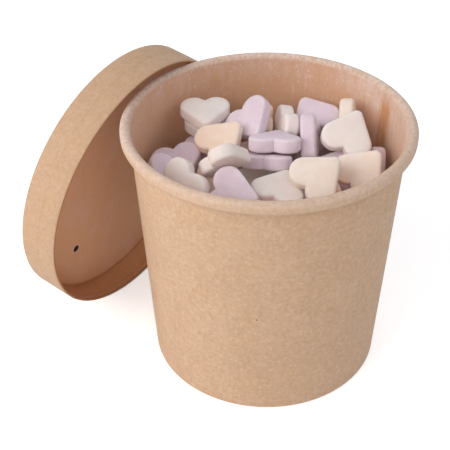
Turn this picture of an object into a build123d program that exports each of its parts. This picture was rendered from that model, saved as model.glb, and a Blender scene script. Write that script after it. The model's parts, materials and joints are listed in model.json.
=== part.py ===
from build123d import *
import itertools
import math
import os

import numpy as np

os.makedirs("parts", exist_ok=True)

# Kraft board and the glue between two layers of it
board = 0.45
glue_line = 0.05

# Tub: a wrapped cone with a rolled rim and a recessed base
tub_height = 93.0
foot_radius = 40.8
rim_radius = 49.0
rim_width = 3.5
rim_height = 4.3
rim_under_radius = 1.1
foot_hem_height = 5.5
base_lift = 7.0

# Side seam of the tub, where the two ends of the wrapped blank lap
seam_azimuth = 63.0
seam_width = 6.0
seam_step = 0.2

# Lid: a ring with a hem inside its mouth, closed by a recessed panel
lid_fit = 0.05
lid_height = 14.8
lid_hem_height = 2.8
lid_panel_depth = 10.6
lid_fold_gap = 0.3
vent_radius = 1.2
vent_from_centre = 33.8
vent_angle = 131.0

# The lid stands on its edge beside the tub and leans on the rim
lid_lean = 9.0
lid_side_shift = -4.0
lid_touch = 0.15

# Candies: flat hearts with a bevel round both faces
candy_width = 18.2
candy_length = 16.6
candy_thickness = 5.6
candy_bevel = 0.9
lobe_radius = 5.1
tip_radius = 2.4
candy_touch = 0.2
candy_wall_gap = 0.4
candy_side_gap = 1.0

# Fill: flat layers up to a height, and on them a heap laid out as seen from its front
layers_height = 52.5
layer_turn = 137.5
heap_turn = 32.25
heap_cell = 0.4
heap_slide = 0.4

# How far and how many degrees a candy may move to find room: held, free, and free to tumble
held = (1.5, 3)
free = (3, 6)
tumbling = (3, 12)

# What a candy's moves count for: mm up, mm down, mm aside and degrees rocked
rise_cost = 1.0
drop_cost = 0.6
shift_cost = 0.25
rock_cost = 0.03
close_enough = 0.8

# Round turns of the board and of the hearts are drawn as flats of about these lengths
roll_flat = 1.3
candy_flat = 3.8
buried_flat = 7.0


def arc_points(centre, radius, start, end, flat):
    """Points on an arc, from one angle to another in degrees, about one flat apart."""
    flats = max(1, round(radius * abs(math.radians(end - start)) / flat))
    angles = [math.radians(start + (end - start) * i / flats) for i in range(flats + 1)]
    return [(centre[0] + radius * math.cos(a), centre[1] + radius * math.sin(a)) for a in angles]


def side_of(path, offset):
    """The path moved sideways, to its left for a positive offset, with mitred corners."""
    moved = []
    for i, (x, y) in enumerate(path):
        normals = []
        for start, end in ((i - 1, i), (i, i + 1)):
            if start >= 0 and end < len(path):
                dx = path[end][0] - path[start][0]
                dy = path[end][1] - path[start][1]
                length = math.hypot(dx, dy)
                normals.append((-dy / length, dx / length))
        nx = sum(n[0] for n in normals) / len(normals)
        ny = sum(n[1] for n in normals) / len(normals)
        mitre = offset / (nx * nx + ny * ny)
        moved.append((x + nx * mitre, y + ny * mitre))
    return moved


def board_outline(path):
    """Outline of a strip of board whose middle follows the path."""
    return side_of(path, board / 2) + side_of(path, -board / 2)[::-1]


# Middle of the tub's wall at a height
mouth_radius = rim_radius - rim_width
taper = (mouth_radius + board - foot_radius) / tub_height


def wall_middle(z):
    return foot_radius - board / 2 + taper * z


def wall_inside(z):
    return wall_middle(z) - board / 2


layer_pitch = board + glue_line
foot_z = board / 2
roll_outside = rim_radius - board / 2
roll_top_radius = (roll_outside - wall_middle(tub_height)) / 2
roll_top_z = tub_height - board / 2 - roll_top_radius
roll_top_centre = (roll_outside - roll_top_radius, roll_top_z)
rim_bottom = tub_height - rim_height
roll_under_centre = (roll_outside - rim_under_radius, rim_bottom + board / 2 + rim_under_radius)

wall_path = [
    (wall_middle(foot_hem_height) - 2 * layer_pitch, foot_hem_height),
    (wall_middle(foot_z) - 2 * layer_pitch, foot_z),
    (wall_middle(foot_z), foot_z),
    *arc_points(roll_top_centre, roll_top_radius, 180, 0, roll_flat),
    *arc_points(roll_under_centre, rim_under_radius, 0, -180, roll_flat),
]


seam_direction = math.radians(seam_azimuth)
seam_plane = Plane(
    origin=(0, 0, 0),
    x_dir=(math.cos(seam_direction), math.sin(seam_direction), 0),
    z_dir=(math.sin(seam_direction), -math.cos(seam_direction), 0),
)
seam_arc = math.degrees(seam_width / mouth_radius)
lap_foot = base_lift + board + candy_touch
seam_outline = [
    (wall_middle(rim_bottom), rim_bottom),
    (wall_middle(rim_bottom) + board / 2 + seam_step, rim_bottom),
    (wall_middle(board) + board / 2 + seam_step, board),
    (wall_middle(board), board),
    (wall_middle(lap_foot), lap_foot),
    (wall_middle(lap_foot) - board / 2 - seam_step, lap_foot),
    (wall_middle(roll_top_z) - board / 2 - seam_step, roll_top_z),
    (wall_middle(roll_top_z), roll_top_z),
]

# Tub wall: foot folded in and up, side seam lapped, rim rolled outwards
with BuildPart() as tub_wall:
    with BuildSketch(Plane.XZ):
        with BuildLine():
            Polyline(*board_outline(wall_path), close=True)
        make_face()
    revolve(axis=Axis.Z)
    with BuildSketch(seam_plane):
        with BuildLine():
            Polyline(*seam_outline, close=True)
        make_face()
    revolve(axis=Axis.Z, revolution_arc=seam_arc)
tub_wall.part.label = "tub_wall"
export_step(tub_wall.part, "parts/tub_wall.step")

# Tub base: a disc with a skirt, held between the wall and its folded foot
floor_middle = base_lift + board / 2
skirt_end = board + glue_line
base_path = [
    (0, floor_middle),
    (wall_middle(floor_middle) - layer_pitch, floor_middle),
    (wall_middle(skirt_end) - layer_pitch, skirt_end),
]

with BuildPart() as tub_base:
    with BuildSketch(Plane.XZ):
        with BuildLine():
            Polyline(*board_outline(base_path), close=True)
        make_face()
    revolve(axis=Axis.Z)
tub_base.part.label = "tub_base"
export_step(tub_base.part, "parts/tub_base.step")

# Lid section: distance from the lid's axis, and distance along it from the mouth
hem_inside = rim_radius + lid_fit
hem_middle = hem_inside + board / 2
ring_middle = hem_middle + layer_pitch
lid_radius = ring_middle + board / 2
flange_middle = ring_middle - layer_pitch
fold_middle = flange_middle - layer_pitch
lid_top = -lid_height + board / 2
panel_middle = -lid_panel_depth - board / 2
panel_outside = -lid_panel_depth - board

ring_path = [
    (hem_middle, -lid_hem_height),
    (hem_middle, -board / 2),
    (ring_middle, -board / 2),
    (ring_middle, lid_top),
    (fold_middle, lid_top),
    (fold_middle, panel_outside - lid_fold_gap),
]
panel_path = [
    (0, panel_middle),
    (flange_middle, panel_middle),
    (flange_middle, -lid_height + board + glue_line),
]

lean = math.radians(lid_lean)
lid_facing = Vector(math.cos(lean), 0, -math.sin(lean))
lid_up = Vector(math.sin(lean), 0, math.cos(lean))
lid_centre_z = lid_radius * math.cos(lean)


tub_outline = np.array(side_of(wall_path, board / 2) + side_of(wall_path, -board / 2))
lid_side = np.radians(np.arange(90, 271))


def lid_clears_tub(centre_x):
    """True while no point of the tub's outline reaches the lid standing at centre_x."""
    x = np.outer(tub_outline[:, 0], np.cos(lid_side)) - centre_x
    y = np.outer(tub_outline[:, 0], np.sin(lid_side)) - lid_side_shift
    z = tub_outline[:, 1:] - lid_centre_z
    along = x * lid_facing.X + z * lid_facing.Z
    out = np.hypot(x * lid_up.X + z * lid_up.Z, y)
    in_front = along >= lid_touch
    beyond = out >= lid_radius + lid_touch
    within = (out <= hem_inside - lid_touch) & (along >= lid_touch - lid_panel_depth)
    return bool(np.all(in_front | beyond | within))


def lid_place():
    """The place nearest the tub where the lid still stands clear of it."""
    far = -2 * (rim_radius + lid_height)
    near = 0.0
    while near - far > 0.001:
        middle = (near + far) / 2
        if lid_clears_tub(middle):
            far = middle
        else:
            near = middle
    return far


lid_centre = Vector(lid_place(), lid_side_shift, lid_centre_z)
lid_section = Plane(origin=lid_centre, x_dir=lid_up, z_dir=lid_up.cross(lid_facing))
lid_axis = Axis(lid_centre, lid_facing)

# Lid ring: hem folded inside the mouth, far edge folded in over the panel's flange
with BuildPart() as lid_ring:
    with BuildSketch(lid_section):
        with BuildLine():
            Polyline(*board_outline(ring_path), close=True)
        make_face()
    revolve(axis=lid_axis)
lid_ring.part.label = "lid_ring"
export_step(lid_ring.part, "parts/lid_ring.step")

# Lid panel: a flanged disc with one vent hole
vent_turn = math.radians(vent_angle)
vent_place = (vent_from_centre * math.cos(vent_turn), vent_from_centre * math.sin(vent_turn))

with BuildPart() as lid_panel:
    with BuildSketch(lid_section):
        with BuildLine():
            Polyline(*board_outline(panel_path), close=True)
        make_face()
    revolve(axis=lid_axis)
    with BuildSketch(Plane(origin=lid_centre + lid_facing * panel_middle, x_dir=lid_up, z_dir=lid_facing)):
        with Locations(vent_place):
            Circle(vent_radius)
    extrude(amount=board, both=True, mode=Mode.SUBTRACT)
lid_panel.part.label = "lid_panel"
export_step(lid_panel.part, "parts/lid_panel.step")


def heart_half(flat):
    """Right half of a heart's edge, from the notch round the lobe to the tip, which points to -Y."""
    lobe_x = candy_width / 2 - lobe_radius
    lobe_y = candy_length / 2 - lobe_radius
    tip_y = tip_radius - candy_length / 2
    apart = math.hypot(lobe_x, lobe_y - tip_y)
    side = math.atan2(tip_y - lobe_y, -lobe_x) + math.acos((lobe_radius - tip_radius) / apart)
    notch = math.acos(-lobe_x / lobe_radius)
    lobe = arc_points((lobe_x, lobe_y), lobe_radius, math.degrees(notch), math.degrees(side), flat)
    tip = arc_points((0, tip_y), tip_radius, math.degrees(side), -90, flat)
    return lobe + tip


def heart_outline(half):
    """Whole outline of a heart, from its right half."""
    return half + [(-x, y) for x, y in half[-2:0:-1]]


def half_planes(half, bevel):
    """Flat faces of the right half of a heart: outward direction and distance."""
    planes = [(0, 0, 1, candy_thickness / 2), (0, 0, -1, candy_thickness / 2), (-1, 0, 0, 0)]
    for (x0, y0), (x1, y1) in zip(half, half[1:]):
        length = math.hypot(x1 - x0, y1 - y0)
        nx = (y0 - y1) / length
        ny = (x1 - x0) / length
        away = nx * x0 + ny * y0
        planes.append((nx, ny, 0, away))
        if bevel:
            planes.append((nx, ny, 1, away + candy_thickness / 2 - bevel))
            planes.append((nx, ny, -1, away + candy_thickness / 2 - bevel))
    return planes


candy_half = heart_half(candy_flat)
buried_half = heart_half(buried_flat)
candy_planes = half_planes(candy_half, candy_bevel)
buried_planes = half_planes(buried_half, 0)
bevel_start = candy_thickness / 2 - candy_bevel
candy_edge = np.array([(x, y, z) for x, y in heart_outline(candy_half) for z in (bevel_start, -bevel_start)])


def turned(angle, axis):
    """Rotation by an angle in degrees about X, Y or Z."""
    c, s = math.cos(math.radians(angle)), math.sin(math.radians(angle))
    if axis == "X":
        return np.array([[1, 0, 0], [0, c, -s], [0, s, c]])
    if axis == "Y":
        return np.array([[c, 0, s], [0, 1, 0], [-s, 0, c]])
    return np.array([[c, -s, 0], [s, c, 0], [0, 0, 1]])


def candy_axes(turn, lean, toward):
    """Rotation of a candy: turned about +Z, then leaned until its top face looks toward an azimuth."""
    return turned(toward, "Z") @ turned(lean, "Y") @ turned(turn - toward, "Z")


def candy_spans(axes, x, y, planes):
    """Cells of the heap under a candy, with the candy's lowest and highest point over each."""
    reach = (candy_width + candy_thickness) / 2 + candy_touch
    columns = np.arange(math.ceil((x - reach) / heap_cell), (x + reach) / heap_cell)
    rows = np.arange(math.ceil((y - reach) / heap_cell), (y + reach) / heap_cell)
    column, row = np.meshgrid(columns, rows, indexing="ij")
    across = np.stack([column * heap_cell - x, row * heap_cell - y, 0 * column], -1) @ axes
    lowest = np.full(column.shape, np.inf)
    highest = np.full(column.shape, -np.inf)
    for side in (1, -1):
        low = np.full(column.shape, -np.inf)
        high = np.full(column.shape, np.inf)
        for nx, ny, nz, away in planes:
            outward = np.array([side * nx, ny, nz])
            rise = outward @ axes[2]
            room = away + candy_touch / 2 * math.hypot(nx, ny, nz) - across @ outward
            if abs(rise) < 1e-9:
                high = np.where(room >= 0, high, -np.inf)
            elif rise > 0:
                high = np.minimum(high, room / rise)
            else:
                low = np.maximum(low, room / rise)
        lowest = np.where(low < high, np.minimum(lowest, low), lowest)
        highest = np.where(low < high, np.maximum(highest, high), highest)
    under = highest > lowest
    place = (column[under].astype(int) + heap_middle, row[under].astype(int) + heap_middle)
    return place, lowest[under], highest[under]


heap_middle = math.ceil((rim_radius + candy_width) / heap_cell)
heap_size = 2 * heap_middle
heap_places = []
heap_lows = []
heap_highs = []


def add_to_heap(x, y, z, spans):
    """Keep the room that a candy takes up."""
    place, low, high = spans
    lows = np.full((heap_size, heap_size), np.inf)
    highs = np.full((heap_size, heap_size), -np.inf)
    lows[place] = z + low
    highs[place] = z + high
    heap_places.append((x, y))
    heap_lows.append(lows)
    heap_highs.append(highs)


def free_height(x, y, wished, spans):
    """Nearest height at or above the wished one where a candy has room, sunk until it touches."""
    place, low, high = spans
    bottom = base_lift + board - low.min()
    taken = []
    for other, (other_x, other_y) in enumerate(heap_places):
        if math.hypot(other_x - x, other_y - y) < candy_width + candy_thickness / 2:
            start = np.min(heap_lows[other][place] - high)
            end = np.max(heap_highs[other][place] - low)
            taken.append((start, end))
    height = max(wished, bottom)
    for start, end in sorted(taken):
        if start < height < end:
            height = end
    return max([bottom] + [end for start, end in taken if end <= height])


def wall_height(axes, x, y):
    """Lowest height at which a candy clears the tapering wall."""
    corners = candy_edge @ axes.T
    out = np.hypot(corners[:, 0] + x, corners[:, 1] + y) + candy_wall_gap
    return np.max((out - wall_inside(0)) / taper - corners[:, 2])


def settle(x, y, axes, wished):
    """A free place for a candy near a wished height, slid in until it clears the wall."""
    while True:
        spans = candy_spans(axes, x, y, candy_planes)
        z = free_height(x, y, wished, spans)
        if wall_height(axes, x, y) <= z:
            return x, y, z, spans
        out = math.hypot(x, y)
        x -= heap_slide * x / out
        y -= heap_slide * y / out


def find_room(x, y, wished, axes, reach, rock):
    """Shift and rock a candy a little, keep it where it stays nearest to its wished place."""
    tried = {}

    def cost(move):
        key = tuple(round(value, 3) for value in move)
        if key not in tried:
            rocked = turned(key[3], "Y") @ turned(key[2], "X") @ axes
            found = settle(x + key[0], y + key[1], rocked, wished)
            height = found[2] - wished
            height_cost = rise_cost * height if height > 0 else -drop_cost * height
            shift = math.hypot(found[0] - x, found[1] - y)
            total = height_cost + shift_cost * shift + rock_cost * math.hypot(key[2], key[3])
            tried[key] = (total, found, rocked)
        return tried[key][0]

    best = (0, 0, 0, 0)
    if cost(best) > close_enough:
        shifts = (-reach, 0, reach)
        rocks = (-rock, 0, rock)
        best = min(itertools.product(shifts, shifts, rocks, rocks), key=cost)
    for halving in (2, 4, 8):
        steps = (reach / halving, reach / halving, rock / halving, rock / halving)
        improved = True
        while improved:
            improved = False
            for value, (step, limit) in enumerate(zip(steps, (reach, reach, rock, rock))):
                for change in (step, -step):
                    move = list(best)
                    move[value] += change
                    if abs(move[value]) <= limit and cost(move) < cost(best):
                        best = tuple(move)
                        improved = True
    return tried[tuple(round(value, 3) for value in best)][1:]


def ring_places(radius, turn):
    """Places and turns of the flat candies that fit side by side in a ring, tips inwards."""
    spread = 2 * math.pi * (radius + candy_length / 2 - lobe_radius)
    count = int(spread / (candy_width + candy_side_gap))
    places = []
    for i in range(count):
        azimuth = turn + 360 * i / count
        around = math.radians(azimuth)
        places.append((radius * math.cos(around), radius * math.sin(around), azimuth - 90))
    return places


# Buried candies: flat layers of two rings, one node a layer
candy_pitch = candy_thickness + candy_touch
layer_count = int(layers_height / candy_pitch)

for layer in range(layer_count):
    layer_z = base_lift + board + layer * candy_pitch
    outer_ring = wall_inside(layer_z) - candy_wall_gap - candy_length / 2 - candy_side_gap
    inner_ring = outer_ring - candy_length - candy_side_gap
    places = ring_places(outer_ring, layer * layer_turn) + ring_places(inner_ring, layer * layer_turn)
    with BuildPart() as candy_layer:
        for x, y, turn in places:
            axes = turned(turn, "Z")
            z = layer_z + candy_pitch / 2
            if layer >= layer_count - 2:
                add_to_heap(x, y, z, candy_spans(axes, x, y, buried_planes))
            with BuildSketch(Plane(origin=(x, y, z), x_dir=tuple(axes[:, 0]))):
                with BuildLine():
                    Polyline(*heart_outline(buried_half), close=True)
                make_face()
        extrude(amount=candy_thickness / 2, both=True)
    name = f"candy_layer_{layer + 1:02d}"
    candy_layer.part.label = name
    export_step(candy_layer.part, f"parts/{name}.step")

# Loose candies in the order they fell. Seen from the front of the heap: hundredths of the mouth's
# radius to the right and back, height over the layers, turn, lean, azimuth that the top face
# looks toward, and how far it may move
loose_candies = [
    (-57, 44, 3.0, 62, 2, 0, held),
    (-75, 4, 3.0, 100, 2, 0, held),
    (29, 68, 3.0, -10, 2, 0, held),
    (31, 9, 3.0, 200, 2, 0, held),
    (64, -26, 3.0, 60, 2, 0, held),
    (-7, -13, 3.0, 70, 2, 0, held),
    (26, -48, 6.5, 140, 6, -90, held),
    (-18, -53, 6.5, 20, 6, -90, held),
    (-44, 46, 9.0, 40, 3, -90, held),
    (-46, 53, 14.5, 10, 4, -90, held),
    (-68, 13, 11.5, 20, 10, -110, free),
    (-75, -11, 13.5, 80, 20, -20, free),
    (-18, 40, 14.5, 20, 40, -150, held),
    (-48, 51, 20.5, 5, 4, -90, free),
    (33, 64, 9.0, 30, 3, -90, held),
    (35, 66, 17.5, 205, 25, -110, held),
    (66, 55, 17.5, 0, 80, -10, free),
    (17, 50, 12.5, -70, 80, -170, held),
    (2, 58, 11.5, 270, 80, 180, free),
    (48, 13, 10.5, 150, 30, -90, free),
    (59, 33, 16.5, 160, 50, -80, free),
    (33, 30, 11.5, 0, 75, -5, free),
    (79, 22, 10.5, 110, 75, 205, free),
    (55, -18, 11.5, 20, 65, 20, tumbling),
    (70, -9, 16.5, 140, 50, -110, tumbling),
    (-48, -13, 8.5, 10, 60, -160, free),
    (-64, -29, 12.5, -50, 60, -130, tumbling),
    (13, -20, 9.5, 60, 5, -90, free),
    (2, 2, 14.5, 160, 20, 80, free),
    (9, -31, 14.5, 160, 14, -20, free),
    (-25, 22, 18.5, 125, 20, -90, tumbling),
    (-26, -42, 17.5, 70, 35, -90, free),
    (-31, -12, 20.5, 120, 55, 120, free),
    (7, 18, 19.5, 175, 12, 80, free),
    (35, -24, 19.5, 130, 35, -80, free),
]

layers_top = base_lift + board + layer_count * candy_pitch

for number, (right, back, height, turn, lean_angle, toward, room) in enumerate(loose_candies, start=1):
    x, y, z = turned(heap_turn, "Z") @ np.array([right, back, 0]) * mouth_radius / 100
    wished = layers_top + height
    axes = candy_axes(turn + heap_turn, lean_angle, toward + heap_turn)
    (x, y, z, spans), axes = find_room(x, y, wished, axes, *room)
    add_to_heap(x, y, z, spans)
    with BuildPart() as candy:
        with BuildSketch(Plane(origin=(x, y, z), x_dir=tuple(axes[:, 0]), z_dir=tuple(axes[:, 2]))):
            with BuildLine():
                Polyline(*heart_outline(candy_half), close=True)
            make_face()
        extrude(amount=candy_thickness / 2, both=True)
        chamfer(candy.faces().sort_by(SortBy.AREA)[-2:].edges(), candy_bevel)
    name = f"candy_{number:02d}"
    candy.part.label = name
    export_step(candy.part, f"parts/{name}.step")
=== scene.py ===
import json
import math

import bmesh
import bpy
import numpy as np
from mathutils import Matrix, Vector


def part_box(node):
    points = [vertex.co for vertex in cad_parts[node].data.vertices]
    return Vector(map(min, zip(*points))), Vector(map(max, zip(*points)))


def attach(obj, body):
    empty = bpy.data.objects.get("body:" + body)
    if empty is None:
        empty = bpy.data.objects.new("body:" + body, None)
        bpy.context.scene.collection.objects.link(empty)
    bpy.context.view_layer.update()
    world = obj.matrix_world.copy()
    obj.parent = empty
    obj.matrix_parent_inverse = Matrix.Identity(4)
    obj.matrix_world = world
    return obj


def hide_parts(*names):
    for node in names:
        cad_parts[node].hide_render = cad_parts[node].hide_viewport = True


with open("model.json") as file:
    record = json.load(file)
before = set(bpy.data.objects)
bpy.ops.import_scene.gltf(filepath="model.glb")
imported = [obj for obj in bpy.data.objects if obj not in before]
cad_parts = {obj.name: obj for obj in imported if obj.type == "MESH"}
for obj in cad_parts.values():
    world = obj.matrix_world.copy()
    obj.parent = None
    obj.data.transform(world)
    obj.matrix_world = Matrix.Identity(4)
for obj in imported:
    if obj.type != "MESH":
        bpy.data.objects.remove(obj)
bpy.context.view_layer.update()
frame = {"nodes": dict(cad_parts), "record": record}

MM = 0.001

# Sizes of the model, in millimetres
BOARD = 0.45
GLUE_LINE = 0.05
PITCH = BOARD + GLUE_LINE
TUB_HEIGHT = 93.0
FOOT_RADIUS = 40.8
RIM_RADIUS = 49.0
RIM_WIDTH = 3.5
RIM_HEIGHT = 4.3
RIM_UNDER_RADIUS = 1.1
FOOT_HEM = 5.5
FOOT_FOLD = 0.8
BASE_LIFT = 7.0
SEAM_AZIMUTH = math.radians(63.0)
SEAM_WIDTH = 6.0
SEAM_STEP = 0.2
LID_FIT = 0.05
LID_FOLD_GAP = 0.3
LID_HEIGHT = 14.8
LID_HEM = 2.8
LID_PANEL_DEPTH = 10.6
LID_LINE_DEPTH = 7.2
LID_LEAN = math.radians(9.0)
VENT_RADIUS = 1.2
VENT_FROM_CENTRE = 33.8
VENT_ANGLE = math.radians(131.0)
HEM_MIDDLE = RIM_RADIUS + LID_FIT + BOARD / 2
RING_MIDDLE = HEM_MIDDLE + PITCH
LID_RADIUS = RING_MIDDLE + BOARD / 2
FOLD_MIDDLE = RING_MIDDLE - 2 * PITCH
CANDY_WIDTH = 18.2
CANDY_LENGTH = 16.6
LOBE_RADIUS = 5.1
TIP_RADIUS = 2.4

MOUTH_RADIUS = RIM_RADIUS - RIM_WIDTH
TAPER = (MOUTH_RADIUS + BOARD - FOOT_RADIUS) / TUB_HEIGHT

# The photo's right and back are +X and +Y turned by this about the Z axis
CAMERA_TURN = math.radians(32.25)

# Faces that meet at more than this many degrees keep a sharp edge between them
BOARD_SHARP = 50
TONGUE_SHARP = 40
HEART_SHARP = 60
TURN_STEPS = 288

# Where the lid leans: the way its mouth faces, and the middle of its mouth
lid_low, lid_high = (np.array(corner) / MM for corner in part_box("lid_ring"))
lid_facing = Vector((math.cos(LID_LEAN), 0, -math.sin(LID_LEAN)))
lid_up = Vector((math.sin(LID_LEAN), 0, math.cos(LID_LEAN)))
lid_side = lid_facing.cross(lid_up)
lid_x = lid_low[0] + LID_HEIGHT * math.cos(LID_LEAN) + LID_RADIUS * math.sin(LID_LEAN)
lid_centre = Vector((lid_x, (lid_low[1] + lid_high[1]) / 2, LID_RADIUS * math.cos(LID_LEAN)))


def tub_place(x, y, z):
    """A point in metres, from its place round the tub's axis."""
    return (x * MM, y * MM, z * MM)


def lid_place(x, y, z):
    """A point in metres, from its place on the lid: up, to its side and out of its mouth."""
    p = lid_centre + lid_up * x + lid_side * y + lid_facing * z
    return (p.x * MM, p.y * MM, p.z * MM)


def wall_middle(z):
    """Radius of the middle of the tub's board at a height."""
    return FOOT_RADIUS - BOARD / 2 + TAPER * z


# Outlines and meshes
def arc(centre, radius, start, end, steps):
    angles = np.radians(np.linspace(start, end, steps + 1))
    return [(centre[0] + radius * math.cos(a), centre[1] + radius * math.sin(a)) for a in angles]


def offset_path(path, offset):
    """The path moved to its left by offset, with mitred corners."""
    p = np.array(path, float)
    d = np.diff(p, axis=0)
    n = np.stack([-d[:, 1], d[:, 0]], 1) / np.linalg.norm(d, axis=1)[:, None]
    first = np.vstack([n[:1], n])
    second = np.vstack([n, n[-1:]])
    m = (first + second) / 2
    m /= (m * m).sum(1)[:, None]
    return p + m * offset


def strip_outline(path, width, cap_steps=4):
    """Closed outline of a strip of board round a path, with round ends."""
    left = offset_path(path, width / 2)
    right = offset_path(path, -width / 2)
    p = np.array(path, float)

    def cap(end, before, side):
        out = (end - before) / np.linalg.norm(end - before)
        across = side - end
        return [end + across * math.cos(t) + out * width / 2 * math.sin(t)
                for t in np.linspace(0, math.pi, cap_steps + 1)[1:-1]]

    loop = list(left) + cap(p[-1], p[-2], left[-1]) + list(right[::-1]) + cap(p[0], p[1], right[0])
    return np.array(loop)


def divide(path, longest):
    """The path with points added so that no run is longer than asked."""
    out = [path[0]]
    for a, b in zip(path, path[1:]):
        n = max(1, math.ceil(math.dist(a, b) / longest))
        out += [(a[0] + (b[0] - a[0]) * i / n, a[1] + (b[1] - a[1]) * i / n) for i in range(1, n + 1)]
    return out


def new_object(name, verts, faces, material, sharp_angle):
    """A smooth-shaded mesh object whose faces all look outward."""
    mesh = bpy.data.meshes.new(name)
    mesh.from_pydata([tuple(v) for v in verts], [], [tuple(f) for f in faces])
    mesh.validate()
    bm = bmesh.new()
    bm.from_mesh(mesh)
    bmesh.ops.recalc_face_normals(bm, faces=bm.faces)
    bm.to_mesh(mesh)
    bm.free()
    mesh.polygons.foreach_set("use_smooth", [True] * len(mesh.polygons))
    mesh.set_sharp_from_angle(angle=math.radians(sharp_angle))
    mesh.materials.append(material)
    obj = bpy.data.objects.new(name, mesh)
    bpy.context.scene.collection.objects.link(obj)
    return obj


def revolve(name, outline, azimuths, place, material, change=None):
    """Closed outline of (radius, height) turned about an axis at the given azimuths."""
    count = len(outline)
    verts = []
    for a in azimuths:
        ring = outline if change is None else change(outline, a)
        c, s = math.cos(a), math.sin(a)
        verts += [place(r * c, r * s, z) for r, z in ring]
    turns = len(azimuths)
    faces = []
    for i in range(turns):
        j = (i + 1) % turns
        for k in range(count):
            m = (k + 1) % count
            faces.append((i * count + k, j * count + k, j * count + m, i * count + m))
    return new_object(name, verts, faces, material, BOARD_SHARP)


def spread_azimuths(count, extra=()):
    """Azimuths spread evenly over a turn, with some extra ones among them."""
    even = [2 * math.pi * i / count for i in range(count)]
    return sorted({round(a % (2 * math.pi), 6) for a in even + list(extra)})


def stand_for(piece, node):
    """The piece takes the place of a CAD node."""
    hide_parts(node)
    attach(piece, "root")


# Materials
def srgb(r, g, b):
    def lin(v):
        v /= 255
        return v / 12.92 if v <= 0.04045 else ((v + 0.055) / 1.055) ** 2.4
    return (lin(r), lin(g), lin(b), 1.0)


class Nodes:
    """A new material and short names for the nodes that it is made of."""

    def __init__(self, name):
        self.material = bpy.data.materials.new(name)
        self.material.use_nodes = True
        self.tree = self.material.node_tree
        self.shader = self.tree.nodes["Principled BSDF"]
        self.source = self.tree.nodes.new("ShaderNodeTexCoord").outputs["Object"]

    def put(self, value, socket):
        if isinstance(value, bpy.types.NodeSocket):
            self.tree.links.new(value, socket)
        else:
            socket.default_value = value

    def add(self, kind, inputs, **props):
        node = self.tree.nodes.new(kind)
        for key, value in props.items():
            setattr(node, key, value)
        for key, value in inputs.items():
            self.put(value, node.inputs[key])
        return node

    def mapped(self, scale, location=(0, 0, 0)):
        return self.add("ShaderNodeMapping", {"Vector": self.source, "Scale": scale,
                                              "Location": location}).outputs["Vector"]

    def noise(self, scale, detail=3.0, rough=0.5, source=None):
        """Noise about 0.5, with this many cells a metre."""
        return self.add("ShaderNodeTexNoise", {"Vector": source or self.source, "Scale": scale,
                                               "Detail": detail, "Roughness": rough}).outputs["Fac"]

    def ramp(self, value, low, high, a=0.0, b=1.0, smooth=True):
        """From a where the value is low to b where it is high."""
        kind = "SMOOTHSTEP" if smooth else "LINEAR"
        return self.add("ShaderNodeMapRange", {"Value": value, "From Min": low, "From Max": high,
                                               "To Min": a, "To Max": b},
                        interpolation_type=kind).outputs["Result"]

    def math(self, op, a, b=0.0):
        return self.add("ShaderNodeMath", {0: a, 1: b}, operation=op).outputs[0]

    def product(self, *values):
        out = values[0]
        for value in values[1:]:
            out = self.math("MULTIPLY", out, value)
        return out

    def near(self, value, middle, clear, full):
        """1 within full of the middle, falling to 0 at clear."""
        return self.ramp(self.math("ABSOLUTE", self.math("SUBTRACT", value, middle)), clear, full)

    def length(self, x, y):
        square = self.math("ADD", self.math("MULTIPLY", x, x), self.math("MULTIPLY", y, y))
        return self.math("SQRT", square)

    def toward(self, azimuth, middle):
        """1 at the middle azimuth, falling to -1 on the other side."""
        return self.math("COSINE", self.math("SUBTRACT", azimuth, middle))

    def mix(self, factor, a, b):
        node = self.tree.nodes.new("ShaderNodeMix")
        node.data_type = "RGBA"
        for socket, value in ((node.inputs[0], factor), (node.inputs[6], a), (node.inputs[7], b)):
            self.put(value, socket)
        return node.outputs[2]

    def bump(self, height, strength, distance):
        node = self.add("ShaderNodeBump", {"Height": height, "Strength": strength, "Distance": distance})
        self.put(node.outputs["Normal"], self.shader.inputs["Normal"])

    def set(self, **values):
        for key, value in values.items():
            self.put(value, self.shader.inputs[key.replace("_", " ")])

    def round_z(self):
        """Azimuth in radians, distance from the Z axis and height of a point."""
        x, y, z = self.add("ShaderNodeSeparateXYZ", {0: self.source}).outputs
        return self.math("ARCTAN2", y, x), self.length(x, y), z

    def round_lid(self):
        """Distance from the lid's axis, and height along it from the mouth."""
        centre = lid_centre * MM
        from_centre = self.add("ShaderNodeVectorMath", {0: self.source, 1: centre},
                               operation="SUBTRACT").outputs["Vector"]
        along = self.add("ShaderNodeVectorMath", {0: from_centre, 1: lid_facing},
                         operation="DOT_PRODUCT").outputs["Value"]
        away = self.add("ShaderNodeVectorMath", {0: from_centre}, operation="LENGTH").outputs["Value"]
        away_square = self.math("MULTIPLY", away, away)
        square = self.math("SUBTRACT", away_square, self.math("MULTIPLY", along, along))
        return self.math("SQRT", self.math("MAXIMUM", square, 0.0)), along


KRAFT = srgb(212, 177, 146)
KRAFT_LIGHT = srgb(225, 193, 165)
KRAFT_WARM = srgb(214, 174, 134)
KRAFT_DARK = srgb(194, 156, 123)
KRAFT_INSIDE_AND_BOUNCE = srgb(216, 162, 122)
KRAFT_LID_INSIDE_BOUNCE = srgb(243, 188, 146)
KRAFT_LID_RING_SHADE = srgb(210, 144, 92)
KRAFT_FOLD_SHADE = srgb(150, 108, 76)
KRAFT_RIM = srgb(221, 192, 169)
SUGAR = srgb(232, 214, 206)
GLUE = srgb(203, 142, 92)
POWDER = srgb(244, 236, 232)
SPECK = srgb(74, 54, 40)
VENT_EDGE_SHADE = srgb(26, 18, 14)

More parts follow.
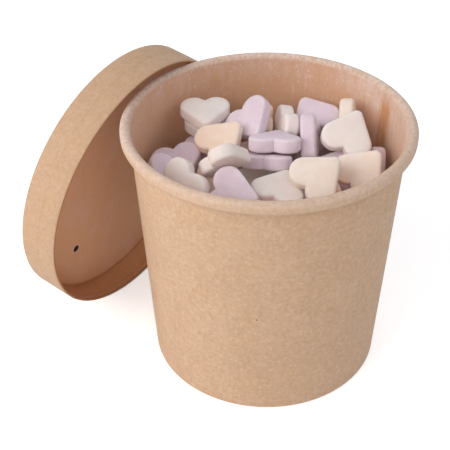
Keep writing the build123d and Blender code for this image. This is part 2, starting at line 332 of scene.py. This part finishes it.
# Marks on the tub: where they are round it, and sizes in millimetres
SPECK_AZIMUTH = math.radians(-60.95)
SPECK_HEIGHT = 43.2
SPECK_RADIUS = 0.38
RIM_SUGAR_AZIMUTH = CAMERA_TURN + math.radians(110)
WALL_SUGAR_AZIMUTH = CAMERA_TURN + math.radians(5)
SCRATCH_AZIMUTH = SEAM_AZIMUTH + math.radians(8)
GLUE_AZIMUTH = SEAM_AZIMUTH - math.radians(4.6)

# Depth of the bump, in millimetres
PAPER_BUMP = 0.12
CANDY_BUMP = 0.10


def board_paper(nodes):
    """Brown paper: faint clouds, tangled fibres, grain and a few dark shives."""
    cloud = nodes.noise(75, 4, 0.55)
    colour = nodes.mix(nodes.ramp(cloud, 0.34, 0.66, 0.32, 0.0), KRAFT, KRAFT_DARK)
    warm = nodes.noise(120, 3, 0.6, nodes.mapped((1, 1, 1), (0.9, 0.4, 0.6)))
    colour = nodes.mix(nodes.ramp(warm, 0.42, 0.64, 0.0, 0.35), colour, KRAFT_WARM)
    tangle = nodes.noise(720, 5, 0.75)
    upright = nodes.noise(700, 4, 0.65, nodes.mapped((1, 1, 0.35)))
    level = nodes.noise(700, 4, 0.65, nodes.mapped((0.38, 0.38, 1.1), (0.3, 0.1, 0.2)))
    strands = nodes.product(nodes.math("ADD", upright, level), 0.22)
    fibre = nodes.math("ADD", nodes.product(tangle, 0.56), strands)
    colour = nodes.mix(nodes.ramp(fibre, 0.50, 0.60, 0.0, 0.56), colour, KRAFT_LIGHT)
    colour = nodes.mix(nodes.ramp(fibre, 0.40, 0.50, 0.58, 0.0), colour, KRAFT_DARK)
    grain = nodes.noise(2400, 2, 0.5)
    colour = nodes.mix(nodes.ramp(grain, 0.58, 0.74, 0.0, 0.20), colour, KRAFT_LIGHT)
    shive = nodes.noise(1300, 1, 0.4, nodes.mapped((0.5, 0.5, 1), (0.7, 0.2, 0.4)))
    colour = nodes.mix(nodes.ramp(shive, 0.68, 0.76, 0.0, 0.45), colour, KRAFT_DARK)
    return colour, nodes.math("ADD", fibre, nodes.math("MULTIPLY", grain, 0.25))


def kraft(name, finish=None):
    """Kraft board, with a finish that adds what is seen on one piece alone."""
    nodes = Nodes(name)
    colour, height = board_paper(nodes)
    rough = nodes.ramp(height, 0.45, 0.80, 0.82, 0.68)
    if finish is not None:
        colour, height = finish(nodes, colour, height)
    nodes.set(Base_Color=colour, Roughness=rough, Specular_IOR_Level=0.30, Sheen_Weight=0.10,
              Sheen_Roughness=0.5)
    nodes.bump(height, 0.35, PAPER_BUMP * MM)
    return nodes.material


def rim_wear(nodes, colour, azimuth, z, depth, outside):
    """The rolled rim is rubbed paler, and sugar clings to its top, most of all at the back."""
    rim_start = (TUB_HEIGHT - RIM_HEIGHT) * MM
    past_wall = nodes.ramp(depth, 0.3 * MM, 0.8 * MM)
    on_rim = nodes.product(nodes.ramp(z, rim_start - 0.3 * MM, rim_start), past_wall)
    rub = nodes.ramp(nodes.noise(700, 5, 0.72), 0.40, 0.62, 0.20, 0.62)
    colour = nodes.mix(nodes.product(outside, on_rim, rub), colour, KRAFT_RIM)
    rim_top = nodes.ramp(z, (TUB_HEIGHT - 2.2) * MM, (TUB_HEIGHT - 0.3) * MM)
    patch = nodes.ramp(nodes.noise(760, 5, 0.75), 0.38, 0.62, 0.15, 1.0)
    share = nodes.ramp(nodes.toward(azimuth, RIM_SUGAR_AZIMUTH), -0.8, 0.3, 0.38, 0.85)
    return nodes.mix(nodes.product(rim_top, patch, share), colour, SUGAR)


def wall_sugar(nodes, colour, azimuth, z, inside):
    """Sugar on the inner wall, thickest under the rim and on the right, with flakes and scratches."""
    reach = nodes.ramp(nodes.toward(azimuth, WALL_SUGAR_AZIMUTH), 0.5, 1.0, 0.34, 1.0)
    low = nodes.ramp(z, 55 * MM, 84 * MM, 0.22, 0.58)
    high = nodes.ramp(z, 80 * MM, 92 * MM, 0.0, 0.50)
    cloud = nodes.ramp(nodes.noise(150, 6, 0.75, nodes.mapped((1, 1, 0.8))), 0.34, 0.64, 0.45, 1.0)
    streak = nodes.noise(480, 5, 0.75, nodes.mapped((1, 1, 0.14)))
    streak = nodes.ramp(streak, 0.32, 0.66, 0.55, 1.0)
    dust = nodes.product(nodes.math("ADD", low, high), reach, cloud, streak, inside)
    colour = nodes.mix(dust, colour, SUGAR)

    flake = nodes.ramp(nodes.noise(900, 5, 0.78, nodes.mapped((1, 1, 0.45))), 0.54, 0.64)
    flake_height = nodes.ramp(z, 70 * MM, 90 * MM, 0.10, 0.70)
    flake = nodes.product(flake, flake_height, nodes.ramp(cloud, 0.5, 0.9, 0.15, 1.0))
    colour = nodes.mix(nodes.product(flake, inside), colour, SUGAR)

    # Short level scratches in the sugar beside the seam
    beside_seam = nodes.near(azimuth, SCRATCH_AZIMUTH, math.radians(15), math.radians(5))
    scratch = nodes.noise(300, 2, 0.5, nodes.mapped((0.5, 0.5, 3.2), (0.1, 0.5, 0.3)))
    scratch = nodes.ramp(scratch, 0.66, 0.72)
    scratch = nodes.product(scratch, beside_seam, nodes.ramp(z, 76 * MM, 82 * MM), inside)
    return nodes.mix(nodes.product(scratch, 0.75), colour, SUGAR)


def seam_glue(nodes, colour, azimuth, z, inside):
    """Glue along the lapped seam, with ragged sides, and the pale cut edge of the board."""
    ragged = nodes.product(nodes.noise(260, 3, 0.6, nodes.mapped((1, 1, 0.3))), 0.05)
    beside = nodes.near(azimuth, GLUE_AZIMUTH, 0.085, 0.040)
    smear = nodes.noise(300, 4, 0.7, nodes.mapped((1, 1, 0.22)))
    thin = nodes.ramp(nodes.math("ADD", smear, ragged), 0.36, 0.56)
    fade = nodes.ramp(z, 85 * MM, 91.5 * MM, 0.85, 0.30)
    colour = nodes.mix(nodes.product(beside, thin, fade, inside), colour, GLUE)
    edge = nodes.near(azimuth, SEAM_AZIMUTH, 0.007, 0.002)
    return nodes.mix(nodes.product(edge, inside, 0.5), colour, KRAFT_RIM)


def board_speck(nodes, colour, azimuth, z, outside):
    """One dark speck in the board of the outer wall."""
    turned_by = nodes.math("SUBTRACT", azimuth, SPECK_AZIMUTH)
    around = nodes.product(turned_by, wall_middle(SPECK_HEIGHT) * MM)
    above = nodes.math("SUBTRACT", z, SPECK_HEIGHT * MM)
    speck = nodes.ramp(nodes.length(around, above), SPECK_RADIUS * MM, SPECK_RADIUS * MM / 2)
    return nodes.mix(nodes.product(speck, outside, 0.9), colour, SPECK)


def tub_finish(nodes, colour, height):
    """A browner inside, partly painted bounced light, a rubbed rim, sugar, the seam's glue and a speck.
    """
    azimuth, out, z = nodes.round_z()
    wall_face = nodes.ramp(z, 0.0, TUB_HEIGHT * MM, FOOT_RADIUS * MM, (MOUTH_RADIUS + BOARD) * MM,
                           smooth=False)
    depth = nodes.math("SUBTRACT", out, wall_face)
    inside = nodes.ramp(depth, -0.10 * MM, -0.35 * MM)
    outside = nodes.math("SUBTRACT", 1.0, inside)
    # The browner, warmer inside is partly painted light bounced round within the tub
    colour = nodes.mix(nodes.product(inside, 0.75), colour, KRAFT_INSIDE_AND_BOUNCE)
    colour = rim_wear(nodes, colour, azimuth, z, depth, outside)
    colour = wall_sugar(nodes, colour, azimuth, z, inside)
    colour = seam_glue(nodes, colour, azimuth, z, inside)
    return board_speck(nodes, colour, azimuth, z, outside), height


def vent_wear_and_shade(nodes, colour):
    """Torn fibres stand up pale round the vent, and its edge is darkened with painted shade of the hole.
    """
    vent_up = VENT_FROM_CENTRE * math.cos(VENT_ANGLE)
    vent_side = VENT_FROM_CENTRE * math.sin(VENT_ANGLE)
    vent = Vector(lid_place(vent_up, vent_side, -LID_PANEL_DEPTH))
    from_vent = nodes.add("ShaderNodeVectorMath", {0: nodes.source, 1: vent}, operation="DISTANCE")
    ragged = nodes.product(nodes.noise(900, 3, 0.6), 0.5 * MM)
    away = nodes.math("ADD", from_vent.outputs["Value"], ragged)
    torn = nodes.near(away, 2.0 * MM, 0.55 * MM, 0.2 * MM)
    colour = nodes.mix(nodes.product(torn, 0.35), colour, SUGAR)
    # Painted shade: the board round the vent's edge is darkened so that the hole looks deep and dark
    return nodes.mix(nodes.ramp(away, 1.80 * MM, 1.60 * MM), colour, VENT_EDGE_SHADE)


def lid_finish(nodes, colour, height):
    """A browner, scuffed inside whose brown is painted bounced light with painted shade by the band, a
    line pressed round the band with painted shade in it, painted shade at the fold and round the edge of
    a torn vent.
    """
    out, along = nodes.round_lid()
    within = nodes.ramp(out, (RING_MIDDLE + 0.05) * MM, (RING_MIDDLE - 0.15) * MM)
    front = nodes.ramp(along, -(LID_PANEL_DEPTH + BOARD * 0.6) * MM,
                       -(LID_PANEL_DEPTH + BOARD * 0.3) * MM)
    inside = nodes.product(within, front)
    # Painted light: the lid's inside is a lighter, warmer brown standing in for light bounced off the
    # tub, and a darker orange-brown by the band as painted shade
    disc = nodes.ramp(out, (HEM_MIDDLE - 0.6) * MM, (HEM_MIDDLE - 1.6) * MM)
    inside_bounce_and_shade = nodes.mix(disc, KRAFT_LID_RING_SHADE, KRAFT_LID_INSIDE_BOUNCE)
    colour = nodes.mix(nodes.product(inside, 0.68), colour, inside_bounce_and_shade)
    scuff = nodes.noise(85, 6, 0.75, nodes.mapped((1, 1, 0.6), (0.2, 0.6, 0.1)))
    scuff = nodes.ramp(scuff, 0.46, 0.66)
    colour = nodes.mix(nodes.product(scuff, disc, inside, 0.26), colour, SUGAR)

    band = nodes.math("SUBTRACT", 1.0, within)
    colour = nodes.mix(nodes.product(band, 0.30), colour, KRAFT_DARK)
    # A line pressed round the band: the bump dents it, and its darker colour is painted shade in the
    # dent
    wander = nodes.product(nodes.math("SUBTRACT", nodes.noise(35, 2, 0.5), 0.5), 0.9 * MM)
    line = nodes.near(nodes.math("ADD", along, wander), -LID_LINE_DEPTH * MM, 0.55 * MM, 0.12 * MM)
    line = nodes.product(line, band, nodes.ramp(nodes.noise(160, 3, 0.6), 0.34, 0.60, 0.3, 1.0))
    colour = nodes.mix(nodes.product(line, 0.42), colour, KRAFT_DARK)
    # Painted shade: the inside of the band at the fold by the mouth is darkened
    fold = nodes.product(nodes.near(along, -0.35 * MM, 0.8 * MM, 0.3 * MM), within)
    colour = nodes.mix(nodes.product(fold, 0.60), colour, KRAFT_FOLD_SHADE)
    height = nodes.math("SUBTRACT", height, nodes.product(line, 0.6))
    return vent_wear_and_shade(nodes, colour), height


def candy_material(name, face, shade):
    """Chalky pressed sugar: clouds, powder, fine grain and, where the edge attribute is given, pale
    edges that are partly wear and partly painted highlight.
    """
    nodes = Nodes(name)
    drift = nodes.noise(48, 2, 0.5)
    cloud = nodes.noise(260, 4, 0.6)
    powder = nodes.noise(700, 5, 0.75)
    grain = nodes.noise(2200, 3, 0.6)
    colour = nodes.mix(nodes.ramp(drift, 0.36, 0.64, 0.0, 0.45), face, shade)
    colour = nodes.mix(nodes.ramp(cloud, 0.36, 0.64, 0.40, 0.0), colour, shade)
    colour = nodes.mix(nodes.ramp(powder, 0.50, 0.72, 0.0, 0.34), colour, POWDER)
    colour = nodes.mix(nodes.ramp(grain, 0.30, 0.46, 0.20, 0.0), colour, shade)
    # Pale edges: rubbed powder on the bevel, and partly a painted highlight along it
    wear_and_highlight = nodes.add("ShaderNodeAttribute", {}, attribute_name="wear_and_highlight").outputs["Fac"]
    colour = nodes.mix(nodes.product(wear_and_highlight, nodes.ramp(powder, 0.38, 0.62, 0.10, 0.55)), colour, POWDER)
    nodes.set(Base_Color=colour, Roughness=0.86, Specular_IOR_Level=0.22, Subsurface_Weight=0.25,
              Subsurface_Radius=(0.0024, 0.0016, 0.0013), Subsurface_Scale=1.0)
    nodes.bump(nodes.math("ADD", nodes.product(grain, 0.35), powder), 0.30, CANDY_BUMP * MM)
    return nodes.material


KRAFT_TUB = kraft("kraft_tub", tub_finish)
KRAFT_PLAIN = kraft("kraft_plain")
KRAFT_LID = kraft("kraft_lid", lid_finish)
CANDY = {
    "candy_lilac": candy_material("candy_lilac", srgb(239, 223, 233), srgb(226, 204, 217)),
    "candy_white": candy_material("candy_white", srgb(251, 242, 236), srgb(242, 227, 221)),
    "candy_peach": candy_material("candy_peach", srgb(255, 232, 214), srgb(252, 214, 188)),
    "candy_cream": candy_material("candy_cream", srgb(252, 238, 226), srgb(244, 224, 208)),
}


def hole_shadow():
    """Painted shade: near-black torn board for the face of the tongue that shows through the vent, so
    that the hole looks dark.
    """
    nodes = Nodes("vent_painted_shade")
    fleck = nodes.noise(1800, 3, 0.6)
    colour = nodes.mix(nodes.ramp(fleck, 0.35, 0.65), srgb(34, 24, 18), srgb(52, 36, 26))
    nodes.set(Base_Color=colour, Roughness=0.95, Specular_IOR_Level=0.1)
    nodes.bump(fleck, 0.4, CANDY_BUMP * MM)
    return nodes.material


# Tub: the wall with its rolled rim, its hem and its side seam
roll_outside = RIM_RADIUS - BOARD / 2
top_radius = (roll_outside - wall_middle(TUB_HEIGHT)) / 2
top_z = TUB_HEIGHT - BOARD / 2 - top_radius
under_z = TUB_HEIGHT - RIM_HEIGHT + BOARD / 2 + RIM_UNDER_RADIUS
wall_path = divide([
    (wall_middle(FOOT_HEM) - 2 * PITCH, FOOT_HEM),
    *arc((wall_middle(FOOT_FOLD) - PITCH, BOARD / 2 + PITCH), PITCH, 180, 360, 8),
    *arc((roll_outside - top_radius, top_z), top_radius, 180, 0, 18),
    *arc((roll_outside - RIM_UNDER_RADIUS, under_z), RIM_UNDER_RADIUS, 0, -180, 10),
], longest=5.0)
seam_end = SEAM_AZIMUTH + SEAM_WIDTH / MOUTH_RADIUS

# Each side of the lap rises over this angle, in radians
SEAM_SIDE = 0.0015
# Azimuths are rounded, so one this near to the lap, in radians, is in it
SEAM_TOLERANCE = 0.001
# The faces of the wall are the points between these distances from the middle of its board
FACE_NEAR = 0.05
FACE_FAR = 0.4
# The lap starts at this height outside, and ends this far short of the rim and the base
LAP_FOOT = 1.2
LAP_MARGIN = 1.0


def seam_change(outline, azimuth):
    """The outline of the wall, thickened by the lap where the azimuth is in the seam."""
    if not SEAM_AZIMUTH - SEAM_TOLERANCE <= azimuth <= seam_end + SEAM_TOLERANCE:
        return outline
    ring = outline.copy()
    offset = ring[:, 0] - wall_middle(ring[:, 1])
    z = ring[:, 1]
    outer = (offset > FACE_NEAR) & (offset < FACE_FAR)
    outer &= (z > LAP_FOOT) & (z < TUB_HEIGHT - RIM_HEIGHT - LAP_MARGIN)
    inner = (offset < -FACE_NEAR) & (offset > -FACE_FAR) & (z > BASE_LIFT + LAP_MARGIN) & (z < top_z)
    ring[outer, 0] += SEAM_STEP
    ring[inner, 0] -= SEAM_STEP
    return ring


seam_sides = [SEAM_AZIMUTH - SEAM_SIDE, SEAM_AZIMUTH, seam_end, seam_end + SEAM_SIDE]
tub = revolve("tub_board", strip_outline(wall_path, BOARD), spread_azimuths(TURN_STEPS, seam_sides),
              tub_place, KRAFT_TUB, seam_change)
stand_for(tub, "tub_wall")

# Lid: the band with its hem and its fold, and the tongue of board behind the vent
lid_top = -LID_HEIGHT + BOARD / 2
ring_path = divide([
    (HEM_MIDDLE, -LID_HEM),
    *arc((HEM_MIDDLE + PITCH / 2, -BOARD / 2 - PITCH / 2), PITCH / 2, 180, 0, 6),
    *arc((RING_MIDDLE - PITCH, lid_top + PITCH), PITCH, 0, -180, 10),
    (FOLD_MIDDLE, -LID_PANEL_DEPTH - BOARD - LID_FOLD_GAP),
], longest=2.5)
band = revolve("lid_band", strip_outline(ring_path, BOARD), spread_azimuths(TURN_STEPS), lid_place,
               KRAFT_LID)
stand_for(band, "lid_ring")

TONGUE_HINGE = math.radians(218.8)
TONGUE_STAND = math.radians(50)
TONGUE_WIDTH = 2.2
TONGUE_LENGTH = 1.7
TONGUE_THICKNESS = 0.3
TONGUE_GAP = 0.05


def vent_tongue():
    """The punched tongue of board that stands out behind the vent, hinged at one side of it."""
    middle = VENT_FROM_CENTRE * np.array([math.cos(VENT_ANGLE), math.sin(VENT_ANGLE)])
    far = np.array([math.cos(TONGUE_HINGE), math.sin(TONGUE_HINGE)])
    level = np.array([-far[1], far[0]])
    hinge = middle + far * (VENT_RADIUS + TONGUE_GAP)
    c, s = math.cos(TONGUE_STAND), math.sin(TONGUE_STAND)
    arc_points = [(TONGUE_WIDTH / 2 * math.cos(t), TONGUE_LENGTH * math.sin(t))
                  for t in np.linspace(0, math.pi, 17)]
    verts = []
    for depth in (0, TONGUE_THICKNESS):
        for u, v in arc_points:
            flat = hinge + far * (depth * s - v * c) + level * u
            out = v * s + depth * c
            verts.append(lid_place(flat[0], flat[1], -LID_PANEL_DEPTH - BOARD - out))
    count = len(arc_points)
    faces = [tuple(range(count)), tuple(range(2 * count - 1, count - 1, -1))]
    faces += [(i, (i + 1) % count, (i + 1) % count + count, i + count) for i in range(count)]
    tongue = new_object("vent_tongue", verts, faces, KRAFT_LID, TONGUE_SHARP)
    # The face that looks at the vent takes the painted shade
    tongue.data.materials.append(hole_shadow())
    tongue.data.polygons[0].material_index = 1
    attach(tongue, "root")


vent_tongue()


# Candies
def heart_half(lobe_steps, tip_steps):
    """Right half of a heart's outline, from the notch round the lobe to the tip."""
    lobe_x = CANDY_WIDTH / 2 - LOBE_RADIUS
    lobe_y = CANDY_LENGTH / 2 - LOBE_RADIUS
    tip_y = TIP_RADIUS - CANDY_LENGTH / 2
    apart = math.hypot(lobe_x, lobe_y - tip_y)
    side = math.atan2(tip_y - lobe_y, -lobe_x) + math.acos((LOBE_RADIUS - TIP_RADIUS) / apart)
    notch = math.acos(-lobe_x / LOBE_RADIUS)
    lobe = arc((lobe_x, lobe_y), LOBE_RADIUS, math.degrees(notch), math.degrees(side), lobe_steps)
    tip = arc((0, tip_y), TIP_RADIUS, math.degrees(side), -90, tip_steps)
    return lobe + tip


def whole(half):
    """The outline with its left half, which mirrors the right one."""
    return np.array(half + [(-x, y) for x, y in half[-2:0:-1]])


def spin(angle):
    """Matrix that turns rows of points by an angle."""
    c, s = math.cos(angle), math.sin(angle)
    return np.array([[c, s], [-s, c]])


# The outline of the loose CAD solids, which have few corners
plain = whole(heart_half(4, 1))


def candy_pose(node):
    """Where a candy lies: its middle and axes, read from its CAD solid."""
    mesh = frame["nodes"][node].data
    points = np.array([v.co for v in mesh.vertices]) / MM
    largest = {}
    for poly in mesh.polygons:
        key = tuple(round(c, 2) for c in poly.normal)
        largest[key] = largest.get(key, 0) + poly.area
    normal = np.array(max(largest, key=largest.get))
    normal /= np.linalg.norm(normal)
    height = points @ normal
    side = np.cross(normal, (0, 0, 1) if abs(normal[2]) < 0.9 else (1, 0, 0))
    side /= np.linalg.norm(side)
    other = np.cross(normal, side)
    flat = np.stack([points @ side, points @ other], 1)

    def away(moved):
        return np.linalg.norm(flat[:, None] - moved[None], axis=2)

    # The outline is turned in steps to find its best fit, and then drawn onto the nearest corners
    best = None
    for angle in np.radians(np.arange(0, 360, 2)):
        model = plain @ spin(angle)
        moved = model + (flat.max(0) + flat.min(0)) / 2 - (model.max(0) + model.min(0)) / 2
        error = away(moved).min(0).sum()
        if best is None or error < best[0]:
            best = (error, moved)
    moved = best[1]
    for _ in range(4):
        near = flat[away(moved).argmin(0)]
        a = plain - plain.mean(0)
        b = near - near.mean(0)
        angle = math.atan2((a[:, 0] * b[:, 1] - a[:, 1] * b[:, 0]).sum(), (a * b).sum())
        shift = near.mean(0) - plain.mean(0) @ spin(angle)
        moved = plain @ spin(angle) + shift
    c, s = math.cos(angle), math.sin(angle)
    centre = side * shift[0] + other * shift[1] + normal * (height.max() + height.min()) / 2
    return centre, side * c + other * s, other * c - side * s, normal


# A heart's rings from the middle of its side over the edge: inset, height, and wear, which chips the
# edge and paints it pale, partly as a painted highlight
HEART_EDGE = (
    (0.14, 0.00, 0.0), (0.14, 0.80, 0.0), (0.15, 1.40, 0.1), (0.20, 1.75, 0.5), (0.36, 2.05, 1.0),
    (0.62, 2.28, 1.0), (0.95, 2.43, 0.6), (1.35, 2.52, 0.2),
)
# Rings over the face: share of the way to the middle, height, wear
HEART_FACE = ((0.10, 2.57, 0.0), (0.28, 2.64, 0.0), (0.50, 2.70, 0.0), (0.75, 2.74, 0.0))
HEART_TOP = 2.75
HEART_MIDDLE = np.array([0.0, 0.6])
# Points nearer than this to the middle line of a heart are put on it
MIDDLE_LINE = 0.02
# Depth of the shallow dents round a heart, and of the chips along its edges
DENT = 0.03
CHIP = 0.03
CANDY_SEED = 100

heart_base = whole(heart_half(14, 5))
across = np.roll(heart_base, -1, 0) - np.roll(heart_base, 1, 0)
heart_out = np.stack([-across[:, 1], across[:, 0]], 1) / np.linalg.norm(across, axis=1)[:, None]
if ((heart_base - HEART_MIDDLE) * heart_out).sum() < 0:
    heart_out = -heart_out


def heart_rings():
    """Half of a heart's rings, from its side to its face, with its notch and tip on the middle line."""
    rings = [(heart_base - heart_out * inset, height, wear_and_highlight) for inset, height, wear_and_highlight in HEART_EDGE]
    last = rings[-1][0]
    rings += [(last + (HEART_MIDDLE - last) * share, height, wear_and_highlight) for share, height, wear_and_highlight in HEART_FACE]
    return [(np.where(np.abs(ring) < [MIDDLE_LINE, 0], 0, ring), height, wear_and_highlight)
            for ring, height, wear_and_highlight in rings]


def build_heart(name, node, material, rng):
    """A rounded heart with soft edges, chipped and painted pale partly as wear and partly as a
    highlight, and slightly uneven sides, laid where its solid lies.
    """
    centre, x_axis, y_axis, normal = candy_pose(node)
    rings = heart_rings()
    order = rings[::-1] + [(ring, -height, wear_and_highlight) for ring, height, wear_and_highlight in rings[1:]]
    count = len(heart_base)
    turn = np.linspace(0, 2 * math.pi, count, endpoint=False)
    verts = []
    wear = []
    phases = rng.uniform(0, 2 * math.pi, 4)
    chips = np.abs(rng.normal(0, CHIP, (len(order), count)))
    for k, (ring, height, wear_and_highlight) in enumerate(order):
        waves = zip((3, 5, 8, 13), phases)
        dent = sum(DENT * (1 + math.sin(p)) * (1 + np.sin(n * turn + p)) for n, p in waves)
        moved = ring - heart_out * (dent + chips[k] * wear_and_highlight)[:, None] * 0.5
        verts += [(x, y, height) for x, y in moved]
        wear += [wear_and_highlight] * count
    verts += [(*HEART_MIDDLE, HEART_TOP), (*HEART_MIDDLE, -HEART_TOP)]
    wear += [0.0, 0.0]
    faces = []
    for k in range(len(order) - 1):
        for i in range(count):
            j = (i + 1) % count
            faces.append((k * count + i, k * count + j, (k + 1) * count + j, (k + 1) * count + i))
    top, bottom = len(verts) - 2, len(verts) - 1
    last = (len(order) - 1) * count
    for i in range(count):
        j = (i + 1) % count
        faces += [(top, j, i), (bottom, last + i, last + j)]
    placed = (np.array(verts) @ np.stack([x_axis, y_axis, normal]) + centre) * MM
    obj = new_object(name, placed, faces, material, HEART_SHARP)
    obj.data.attributes.new("wear_and_highlight", "FLOAT", "POINT").data.foreach_set("value", wear)
    return obj


slots = {part["node"]: part["material_slot"] for part in frame["record"]["subparts"]}


def give_material(node, material):
    """The CAD mesh of a node stays, in a new material."""
    for slot in frame["nodes"][node].material_slots:
        slot.material = material


for number, node in enumerate(sorted(n for n in frame["nodes"] if n.startswith("candy_"))):
    if node.startswith("candy_layer"):
        give_material(node, CANDY[slots[node]])
    else:
        heart = build_heart(node.replace("candy_", "heart_"), node, CANDY[slots[node]],
                            np.random.default_rng(CANDY_SEED + number))
        stand_for(heart, node)

give_material("tub_base", KRAFT_PLAIN)
give_material("lid_panel", KRAFT_LID)


# Stage: a white floor and room, soft lights and the camera
def light_nodes(tree, kinds):
    """1 for the kinds of ray that are named, and 0 for the rest."""
    path = tree.nodes.new("ShaderNodeLightPath")
    value = path.outputs[kinds[0]]
    for kind in kinds[1:]:
        either = tree.nodes.new("ShaderNodeMath")
        either.operation = "MAXIMUM"
        tree.links.new(value, either.inputs[0])
        tree.links.new(path.outputs[kind], either.inputs[1])
        value = either.outputs[0]
    return value


FLOOR_SIZE = 6.0
FLOOR_DROP = 0.2
FLOOR_LIFT = 0.50
ROOM_LIGHT = (0.38, 0.38, 0.39)

bpy.ops.mesh.primitive_plane_add(size=FLOOR_SIZE, location=(0, 0, -FLOOR_DROP * MM))
floor = bpy.context.object
floor.name = "floor"
floor_nodes = Nodes("floor_white")
floor_nodes.set(Base_Color=(0.93, 0.93, 0.93, 1), Roughness=0.9, Specular_IOR_Level=0.1,
                Emission_Color=(1, 1, 1, 1))
lift = floor_nodes.product(light_nodes(floor_nodes.tree, ["Is Camera Ray"]), FLOOR_LIFT)
floor_nodes.set(Emission_Strength=lift)
floor.data.materials.append(floor_nodes.material)

world = bpy.data.worlds.new("studio")
bpy.context.scene.world = world
world.use_nodes = True
tree = world.node_tree
tree.nodes.clear()
room = tree.nodes.new("ShaderNodeBackground")
room.inputs["Color"].default_value = (*ROOM_LIGHT, 1)
white = tree.nodes.new("ShaderNodeBackground")
white.inputs["Color"].default_value = (1, 1, 1, 1)
choose = tree.nodes.new("ShaderNodeMixShader")
output = tree.nodes.new("ShaderNodeOutputWorld")
seen = light_nodes(tree, ["Is Camera Ray", "Is Glossy Ray", "Is Transmission Ray"])
tree.links.new(seen, choose.inputs[0])
tree.links.new(room.outputs[0], choose.inputs[1])
tree.links.new(white.outputs[0], choose.inputs[2])
tree.links.new(choose.outputs[0], output.inputs[0])

turned = Matrix.Rotation(CAMERA_TURN, 3, "Z")
LIGHT_DISTANCE = 1.2
LIGHT_AIM = Vector((0, 0, 0.05))
# Azimuth from the camera's right and height in degrees, size in metres, power of each colour in watts
LIGHTS = {
    "key": (-138, 34, 0.7, (5.5, 5.35, 5.2)),
    "side": (-172, 20, 0.7, (3.0, 2.9, 2.8)),
    "front": (-95, 38, 0.7, (1.9, 1.9, 1.9)),
    "fill": (0, 32, 0.8, (1.9, 2.0, 2.2)),
    "back": (100, 45, 0.8, (0.8, 0.8, 0.8)),
}


def area_light(name, azimuth, height, size, power):
    """A soft square light that looks at the tub."""
    data = bpy.data.lights.new(name, "AREA")
    data.shape = "SQUARE"
    data.size = size
    data.energy = max(power)
    data.color = [p / max(power) for p in power]
    obj = bpy.data.objects.new(name, data)
    bpy.context.scene.collection.objects.link(obj)
    a, h = math.radians(azimuth), math.radians(height)
    away = turned @ Vector((math.cos(a) * math.cos(h), math.sin(a) * math.cos(h), math.sin(h)))
    obj.location = LIGHT_AIM + away * LIGHT_DISTANCE
    obj.rotation_euler = (-away).to_track_quat("-Z", "Y").to_euler()


for name, (azimuth, height, size, power) in LIGHTS.items():
    area_light(name, azimuth, height, size, power)

# Camera of the photograph, as measured from the rims, in millimetres and radians
PHOTO_WIDTH_PX = 450.0
FOCAL_PX = 1007.63
CAMERA_ELEVATION = math.radians(36.5709)
CAMERA_DISTANCE = 357.294
AIM_HEIGHT = 49.2166
YAW = 0.041
ROLL = 0.0206

right = Vector((1, 0, 0))
back = Vector((0, -math.cos(CAMERA_ELEVATION), math.sin(CAMERA_ELEVATION)))
up = back.cross(right)
position = Vector((0, 0, AIM_HEIGHT)) + back * CAMERA_DISTANCE
yawed = right * math.cos(YAW) - back * math.sin(YAW)
forward = -back * math.cos(YAW) - right * math.sin(YAW)
rolled = yawed * math.cos(ROLL) + up * math.sin(ROLL)
rolled_up = up * math.cos(ROLL) - yawed * math.sin(ROLL)
camera_data = bpy.data.cameras.new("camera")
camera_data.sensor_width = 36.0
camera_data.lens = FOCAL_PX * camera_data.sensor_width / PHOTO_WIDTH_PX
camera_data.clip_start = 0.01
camera_data.clip_end = 20.0
camera = bpy.data.objects.new("camera", camera_data)
bpy.context.scene.collection.objects.link(camera)
axes = Matrix((turned @ rolled, turned @ rolled_up, turned @ -forward)).transposed()
camera.matrix_world = Matrix.Translation((turned @ position) * MM) @ axes.to_4x4()
bpy.context.scene.camera = camera
bpy.context.scene.view_settings.view_transform = "Standard"
